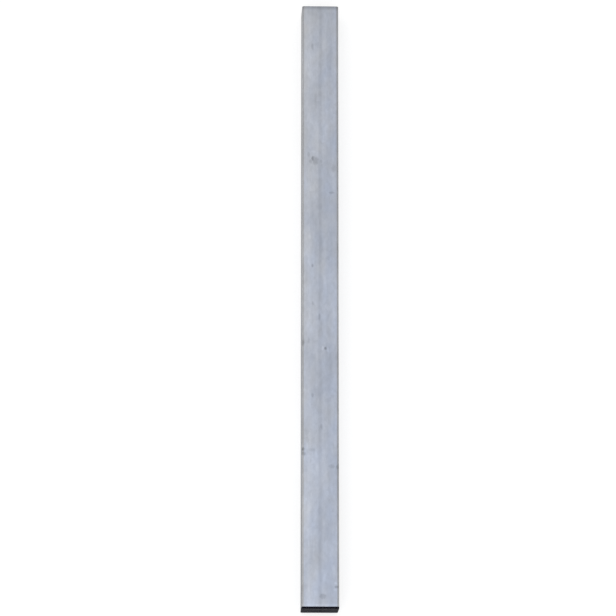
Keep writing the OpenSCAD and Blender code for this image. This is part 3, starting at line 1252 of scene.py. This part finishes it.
# %% How strongly each pattern shades the zinc
lightness_strengths = {
    "clouds": 0.07,
    "patches": 0.07,
    "mottle": 0.055,
    "streaks": 0.02,
    "rolling_lines": 0.015,
    "crystal": 0.045,
    "feathers": 0.02,
    "scratched": 0.06,
    # painted light: lighter to the left and towards the cap, as the lamp falls
    "leftwards": 0.04,
    "towards_cap": 0.02,
    "weld": -0.055,
    "chatter": 0.02,
    "dull_band": -0.035,
    "polished_band": 0.04,
    # painted shade: the rounded corners are 8 % darker, on top of the darker sky that they
    # mirror
    "corner": -0.08,
    # painted shade: the sides and all below the upper side are 8 % darker than the upper side
    "below_top": -0.08,
    # painted shade: the sides near the cap are 22 % darker
    "side_shade_near_cap": -0.22,
    # painted highlight on the crest of the left corner near the cap
    "crest_highlight": 0.15,
    "inside": -0.15,
    # painted shade: darker towards the edge of the open end, over its last 8 mm
    "open_end_edge_shade": -0.28,
    "greyed_by_saw": -0.06,
    # painted highlight: the zinc within 5.5 mm of the cap is 10 % lighter
    "highlight_beside_cap": 0.10,
    # the dark marks hold the dents, whose darkness is painted shade
    "dark": -1.0,
    # the bright spots, of which those beside a dent are painted highlight
    "bright": 1.0,
}
print(len(lightness_strengths), "patterns shade the zinc")

# %% [markdown]
# The other strengths are few. Bluish zinc turns greyer in wide patches, towards the left,
# on the corners and near the saw cut, and bluer towards the cap. A dark mark is rougher
# than the metal round it. The relief is given in hundredths of a millimetre.

# %% Greyness, roughness and relief
usual_greyness = 0.4
greyness_strengths = {
    "tint": 0.22,
    "leftwards": 0.2,
    "towards_cap": -0.15,
    "greyed_by_saw": 0.12,
    "corner": 1.0,
}
zinc_roughness = 0.42
roughness_strengths = {
    "patches": 0.03,
    "crystal": 0.03,
    "dark": 0.4,
    "weld": 0.06,
    "inside": 0.15,
}
relief_unit = 0.01 * MM
relief_strengths = {
    "orange_peel": 0.6,
    "rolling_lines": 0.15,
    "feathers": 0.1,
    "scratched": -0.4,
    "chatter": 0.5,
    "cut_lines": 1.5,
    "dented": -12.0,
}
strongest_dent = max(dent[-1] for dent in dents)
dent_depth = -strongest_dent * relief_strengths["dented"] * relief_unit
print(f"the deepest dent is {dent_depth / MM:.3f} mm deep")

# %% [markdown]
# The colour is built up in steps. The zinc goes from bluish to greyer. Inside, the heat
# of the weld left it brownish. Then all the patterns make it lighter or darker. The cuts
# are bare steel with the lines of the saw's teeth, as on a tube that is galvanized first
# and sawn to length afterwards.

# %% The zinc's colour
bluish_zinc = "B4BDCF"
greyer_zinc = "BEC0C4"
heated_zinc = "8A8078"
cut_steel = "A3A3A2"
tint_size_mm = (20, 40, 20)


def zinc_colour(tree, place_mm, patterns):
    """Bluish and greyer zinc, browned by heat inside, and bare steel on the cut."""
    # Turned upside down, the same noise gives the tint a pattern of its own.
    inputs = {0: place_mm, 1: (1, 1, -1)}
    mirrored = add_node(tree, "ShaderNodeVectorMath", inputs, operation="MULTIPLY")
    tint = blotches(tree, mirrored, tint_size_mm)
    greyness = raised_by(tree, usual_greyness, patterns | {"tint": tint}, greyness_strengths)
    tone = linear(bluish_zinc)
    for factor, other in ((greyness, greyer_zinc), (patterns["heated"], heated_zinc)):
        inputs = {"Factor": factor, "A": tone, "B": linear(other)}
        tone = add_node(tree, "ShaderNodeMix", inputs, data_type="RGBA").outputs["Result"]
    inputs = {0: tone, "Scale": shaded_by(tree, patterns, lightness_strengths)}
    zinc = add_node(tree, "ShaderNodeVectorMath", inputs, operation="SCALE")
    shade = shaded_by(tree, patterns, {"saw_lines": 0.15})
    inputs = {0: linear(cut_steel)[:3], "Scale": shade}
    steel = add_node(tree, "ShaderNodeVectorMath", inputs, operation="SCALE")
    inputs = {"Factor": patterns["cut_face"], "A": zinc, "B": steel}
    return add_node(tree, "ShaderNodeMix", inputs, data_type="RGBA").outputs["Result"]


zinc_to_steel = linear(bluish_zinc)[1] / linear(cut_steel)[1]
print(f"bluish zinc returns {zinc_to_steel:.1f} times as much green light as cut steel")

# %% [markdown]
# What is too small for the mesh bends the light all the same: the orange peel of the
# zinc, the rolling lines, the crystals' feathers, scratches, the chatter on the weld, the
# lines of the saw, and the hollow of each dent. Modelled, they would take millions of
# faces. Here they are added up to one height, and a Bump node tilts the surface by it.

# %% The zinc's relief
def zinc_relief(tree, patterns):
    """The fine relief of the zinc, as a direction for the light."""
    inputs = {0: patterns["saw_lines"], 1: patterns["cut_face"]}
    cut_lines = add_node(tree, "ShaderNodeMath", inputs, operation="MULTIPLY")
    height = raised_by(tree, 0.0, patterns | {"cut_lines": cut_lines}, relief_strengths)
    inputs = {"Height": height, "Strength": 1.0, "Distance": relief_unit}
    print(len(relief_strengths), "kinds of relief on the zinc")
    return add_node(tree, "ShaderNodeBump", inputs)


# %% [markdown]
# The material brings all this together. Zinc is a full metal outside. Inside, dust and
# white rust lie on it, so it is less of one there. Seen at a low angle, weathered zinc
# mirrors less than clean metal does, and the grey specular tint stands for that.

# %% The zinc itself
metallic_outside = 1.0
metallic_inside = 0.7
low_angle_tint = "B0ADA8"


def galvanized_steel():
    """Hot-dip galvanized steel: a dull metal with crystals, streaks and handling marks."""
    material = bpy.data.materials.new("Hot-dip galvanized steel")
    material.use_nodes = True
    tree = material.node_tree
    tree.nodes.clear()
    place_mm = in_millimetres(tree)
    patterns = zinc_patterns(tree, place_mm)
    patterns |= tube_zones(tree, place_mm, patterns["patches"])
    patterns |= placed_patterns(tree, place_mm, patterns["weld"])
    patterns |= yard_marks(tree, place_mm)
    inputs = {"Value": patterns["inside"], "To Min": metallic_outside, "To Max": metallic_inside}
    metallic = add_node(tree, "ShaderNodeMapRange", inputs, interpolation_type="SMOOTHSTEP")
    inputs = {
        "Base Color": zinc_colour(tree, place_mm, patterns),
        "Metallic": metallic,
        "Specular Tint": linear(low_angle_tint),
        "Roughness": raised_by(tree, zinc_roughness, patterns, roughness_strengths),
        "Normal": zinc_relief(tree, patterns),
    }
    shader = add_node(tree, "ShaderNodeBsdfPrincipled", inputs)
    add_node(tree, "ShaderNodeOutputMaterial", {"Surface": shader})
    return material


zinc_material = galvanized_steel()
print(f"{zinc_material.name}: {len(zinc_material.node_tree.nodes)} nodes")

# %% [markdown]
# ## Black polyethylene
#
# The cap is moulded from soft polyethylene coloured with carbon black. It has a waxy,
# slightly uneven skin, which shines very little. One even black would look like a hole,
# so the wear matters: where the cap rubs it gets thin, pale scratches in three
# directions, and it scuffs to grey in patches. The scratches keep to the scuffed
# patches, because both come from the same rubbing, and they too are drawn wider than real
# ones.

# %% Scratches and scuffs on the plastic
scuff_size_mm = (7, 7, 7)
scratch_directions = (
    (35, (0.6, 9, 16)),
    (-62, (0.6, 9, 11)),
    (80, (0.6, 9, 24)),
)
line_starts = 1.05
line_full = 1.35


def plastic_wear(tree, place_mm):
    """The wear of the cap by name: the scuffs, the scratches and how grey both make it."""
    scuffs = blotches(tree, place_mm, scuff_size_mm, detail=4.0)
    scratched = 0.0
    for angle, size_mm in scratch_directions:
        inputs = {"Vector": place_mm, "Angle": math.radians(angle)}
        turned = add_node(tree, "ShaderNodeVectorRotate", inputs, rotation_type="Y_AXIS")
        lines = blotches(tree, turned, size_mm, detail=0.0)
        inputs = {"Value": lines, "From Min": line_starts, "From Max": line_full}
        thin = add_node(tree, "ShaderNodeMapRange", inputs, interpolation_type="SMOOTHSTEP")
        inputs = {0: scratched, 1: thin}
        scratched = add_node(tree, "ShaderNodeMath", inputs, operation="MAXIMUM")
    zones = soft_zones(tree, {"touched": (scuffs, -0.6, 0.9), "scuffed": (scuffs, 0.0, 1.6)})
    inputs = {0: scratched, 1: zones["touched"]}
    scratched = add_node(tree, "ShaderNodeMath", inputs, operation="MULTIPLY")
    wear = {"scuffs": scuffs, "scuffed": zones["scuffed"], "scratched": scratched}
    wear["greyed"] = raised_by(tree, 0.0, wear, {"scuffed": 0.5, "scratched": 0.6})
    return wear


print(len(scratch_directions), "directions of scratches on the cap")

# %% [markdown]
# Dust from the ground lies on the lowest part of the head, up to an uneven line: where
# the cap is scuffed there is less of it, because rubbing wipes it off. It is never quite
# opaque, so its mask is used at part of its full strength.

# %% The plastic's colour
fresh_black = "0F0F17"
worn_black = "1F1E29"
ground_dust = "41414D"
dust_share = 0.6
dust_top_mm = 16
dust_full_mm = 2
dust_line_push_mm = 6


def plastic_colour(tree, place_mm, wear):
    """Black with a grey wear, and dust low on the head."""
    height = add_node(tree, "ShaderNodeSeparateXYZ", {0: place_mm}).outputs["Z"]
    uneven_height = raised_by(tree, height, wear, {"scuffs": dust_line_push_mm})
    inputs = {"Value": uneven_height, "From Min": dust_top_mm, "From Max": dust_full_mm}
    dust = add_node(tree, "ShaderNodeMapRange", inputs, interpolation_type="SMOOTHSTEP")
    inputs = {0: dust, 1: dust_share}
    dusty = add_node(tree, "ShaderNodeMath", inputs, operation="MULTIPLY")
    inputs = {"Factor": wear["greyed"], "A": linear(fresh_black), "B": linear(worn_black)}
    black = add_node(tree, "ShaderNodeMix", inputs, data_type="RGBA").outputs["Result"]
    inputs = {"Factor": dusty, "A": black, "B": linear(ground_dust)}
    return add_node(tree, "ShaderNodeMix", inputs, data_type="RGBA").outputs["Result"]


print("dust lies below a line about", dust_top_mm, "mm high")

# %% [markdown]
# The mould was blasted, so the skin has a fine grain, which breaks up what little it
# mirrors. The pits of such a skin also trap part of that light, so the specular level is
# low. The real grain is about 0.2 mm wide, and is drawn at 0.7 mm so that it can be seen.
# It is about a hundredth of a millimetre high.

# %% The plastic itself
plastic_roughness = 0.78
plastic_shine = 0.1
plastic_tint = "DEDEFF"
polyethylene_ior = 1.51
grain_size_mm = (0.7, 0.7, 0.7)


def moulded_polyethylene():
    """Black low-density polyethylene, as it comes from the mould, with light scuffs."""
    material = bpy.data.materials.new("Black moulded polyethylene")
    material.use_nodes = True
    tree = material.node_tree
    tree.nodes.clear()
    place_mm = in_millimetres(tree)
    wear = plastic_wear(tree, place_mm)
    grain = blotches(tree, place_mm, grain_size_mm, detail=2.0)
    relief = raised_by(tree, grain, wear, {"scratched": -0.5})
    inputs = {"Height": relief, "Strength": 1.0, "Distance": relief_unit}
    bump = add_node(tree, "ShaderNodeBump", inputs)
    inputs = {
        "Base Color": plastic_colour(tree, place_mm, wear),
        "Roughness": raised_by(tree, plastic_roughness, wear, {"scuffs": 0.04}),
        "Specular IOR Level": plastic_shine,
        "Specular Tint": linear(plastic_tint),
        "IOR": polyethylene_ior,
        "Normal": bump,
    }
    shader = add_node(tree, "ShaderNodeBsdfPrincipled", inputs)
    add_node(tree, "ShaderNodeOutputMaterial", {"Surface": shader})
    return material


plastic_material = moulded_polyethylene()
print(f"{plastic_material.name}: {len(plastic_material.node_tree.nodes)} nodes")

# %% [markdown]
# ## Make the pieces and put them on the post
#
# Each recipe runs with its material. The cap's body has its mesh already and only gets
# its material. Each piece then says which part of the plain model it stands for, so that
# the plain one is hidden, and that it moves with the post.

# %% Make and attach
tube = run_recipe(tube_recipe, "post_tube_steel", tube_sizes, zinc_material)
fins = run_recipe(fin_recipe, "cap_fins", fin_sizes, plastic_material)
cap_mesh.materials.append(plastic_material)

for piece, node, slot in (
    (tube, "post_tube", "galvanized_steel"),
    (cap_body, "end_cap", "black_plastic"),
    (fins, "end_cap", "black_plastic"),
):
    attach(piece, "root")
    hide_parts(node)
    print(piece.name, "stands for", node)

# %% [markdown]
# ## Floor, light and camera
#
# The post lies on white paper. Enough light to turn grey paper white would also bleach
# the zinc. So the paper glows a little, to the eye and in mirrored light only. It reads
# as white and still takes the post's shadow, which a stronger glow would wash out.

# %% The paper
paper_grey = "C0C0C0"
paper_glow = 0.65


def white_paper():
    """White paper: matt, and lifted to white for the eye and for mirrored light."""
    material = bpy.data.materials.new("White paper")
    material.use_nodes = True
    tree = material.node_tree
    tree.nodes.clear()
    path = add_node(tree, "ShaderNodeLightPath").outputs
    seen = path["Is Camera Ray"]
    for ray in ("Is Glossy Ray", "Is Transmission Ray"):
        seen = add_node(tree, "ShaderNodeMath", {0: seen, 1: path[ray]}, operation="MAXIMUM")
    strength = add_node(tree, "ShaderNodeMath", {0: seen, 1: paper_glow}, operation="MULTIPLY")
    glow = add_node(tree, "ShaderNodeEmission", {"Strength": strength})
    paper = add_node(tree, "ShaderNodeBsdfDiffuse", {"Color": linear(paper_grey)})
    both = add_node(tree, "ShaderNodeAddShader", {0: paper, 1: glow})
    add_node(tree, "ShaderNodeOutputMaterial", {"Surface": both})
    return material


print(f"the paper returns {linear(paper_grey)[0]:.2f} of the light and glows {paper_glow}")

# %% [markdown]
# The floor is one flat square, right under the post. It is so wide that its edge lies far
# outside the picture.

# %% The floor
floor_half = 40


def make_floor():
    """A flat square floor, just under the post."""
    corners = [(-1, -1), (1, -1), (1, 1), (-1, 1)]
    level = cad_box[0][2]
    mesh = bpy.data.meshes.new("floor")
    points = [(floor_half * x, floor_half * y, level) for x, y in corners]
    mesh.from_pydata(points, [], [(0, 1, 2, 3)])
    mesh.materials.append(white_paper())
    floor = bpy.data.objects.new("floor", mesh)
    bpy.context.scene.collection.objects.link(floor)


make_floor()
print(f"floor {2 * floor_half} m wide")

# %% [markdown]
# Metal needs something to mirror, and in a black room it would look black. The sky of
# this small studio is bright overhead, dimmest low down and brighter again at the
# horizon. So a flat side looks light, and a round corner shows a darker line, where it
# mirrors the low sky. It is a little brighter to the left. All of it is grey, so that it
# gives the zinc no colour.

# %% The sky
sky_levels = [(0.0, 0.8), (0.1, 0.7), (0.25, 0.5), (0.6, 0.58), (0.85, 0.95), (1.0, 1.0)]
brighter_left = 0.09


def studio_sky():
    """A grey sky whose brightness follows the height above the horizon."""
    world = bpy.data.worlds.new("Studio sky")
    world.use_nodes = True
    tree = world.node_tree
    tree.nodes.clear()
    direction = add_node(tree, "ShaderNodeTexCoord").outputs["Generated"]
    heading = add_node(tree, "ShaderNodeSeparateXYZ", {0: direction}).outputs
    ramp = add_node(tree, "ShaderNodeValToRGB", {0: heading["Z"]})
    stops = ramp.color_ramp.elements
    while len(stops) < len(sky_levels):
        stops.new(0.5)
    for stop, (position, grey) in zip(stops, sky_levels):
        stop.position = position
        stop.color = (grey, grey, grey, 1)
    inputs = {0: heading["X"], 1: -brighter_left, 2: 1.0}
    to_the_left = add_node(tree, "ShaderNodeMath", inputs, operation="MULTIPLY_ADD")
    inputs = {"Color": ramp, "Strength": to_the_left}
    background = add_node(tree, "ShaderNodeBackground", inputs)
    add_node(tree, "ShaderNodeOutputWorld", {"Surface": background})
    bpy.context.scene.world = world


studio_sky()
print("sky from", sky_levels[0][1], "at the horizon to", sky_levels[-1][1], "overhead")

# %% [markdown]
# The sky alone would light the post from all round, with only a faint shadow. So one
# large lamp hangs high up, beyond the capped end and a little to the left. It is so wide
# that its shadow has a soft edge, where a small lamp would draw a hard one.

# %% The lamp
def soft_box(name, place, side, power):
    """A square lamp with a soft edge to its shadow, turned to the post."""
    lamp = bpy.data.lights.new(name, "AREA")
    lamp.size = side
    lamp.energy = power
    holder = bpy.data.objects.new(name, lamp)
    holder.location = place
    holder.rotation_euler = (post_middle - Vector(place)).to_track_quat("-Z", "Y").to_euler()
    bpy.context.scene.collection.objects.link(holder)
    print(f"{name}: {side} m wide, {power} W")


soft_box("high_soft_box", (-0.6, -2.2, 2.6), 1.6, 12)

# %% [markdown]
# The camera hangs high over the post, a little beyond the capped end and a little to the
# left, and looks down. It stands far off with a long lens, because a near one would make
# the capped end look much wider than the other. The post runs up the picture. Three
# directions turn the camera: its right, its own up, and backwards, away from what it
# looks at.

# %% Where the camera looks
camera_place = Vector((-0.1698, -1.0294, 4.6194))
camera_aim = Vector((-0.0191, -0.0062, 0.03))

backwards = (camera_place - camera_aim).normalized()
up = Vector((0, 1, 0)) - backwards.y * backwards
up.normalize()
right = up.cross(backwards)
print("camera looks down at", round(math.degrees(math.asin(backwards.z)), 1), "degrees")

# %% [markdown]
# A small roll tilts the first two directions. Each line given to the camera's matrix is
# one of its columns: right, up, backwards and the camera's place.

# %% The camera
camera_roll = math.radians(0.036)
lens_mm = 168.2
sensor_mm = 36
farthest = 100

camera = bpy.data.objects.new("camera", bpy.data.cameras.new("camera"))
camera.data.lens = lens_mm
camera.data.sensor_width = sensor_mm
camera.data.clip_end = farthest
camera.matrix_world = (
    [*(right * math.cos(camera_roll) + up * math.sin(camera_roll)), 0.0],
    [*(up * math.cos(camera_roll) - right * math.sin(camera_roll)), 0.0],
    [*backwards, 0.0],
    [*camera_place, 1.0],
)
bpy.context.scene.collection.objects.link(camera)
bpy.context.scene.camera = camera
bpy.context.scene.view_settings.view_transform = "Standard"
print(f"the lens takes in {math.degrees(camera.data.angle):.1f} degrees")
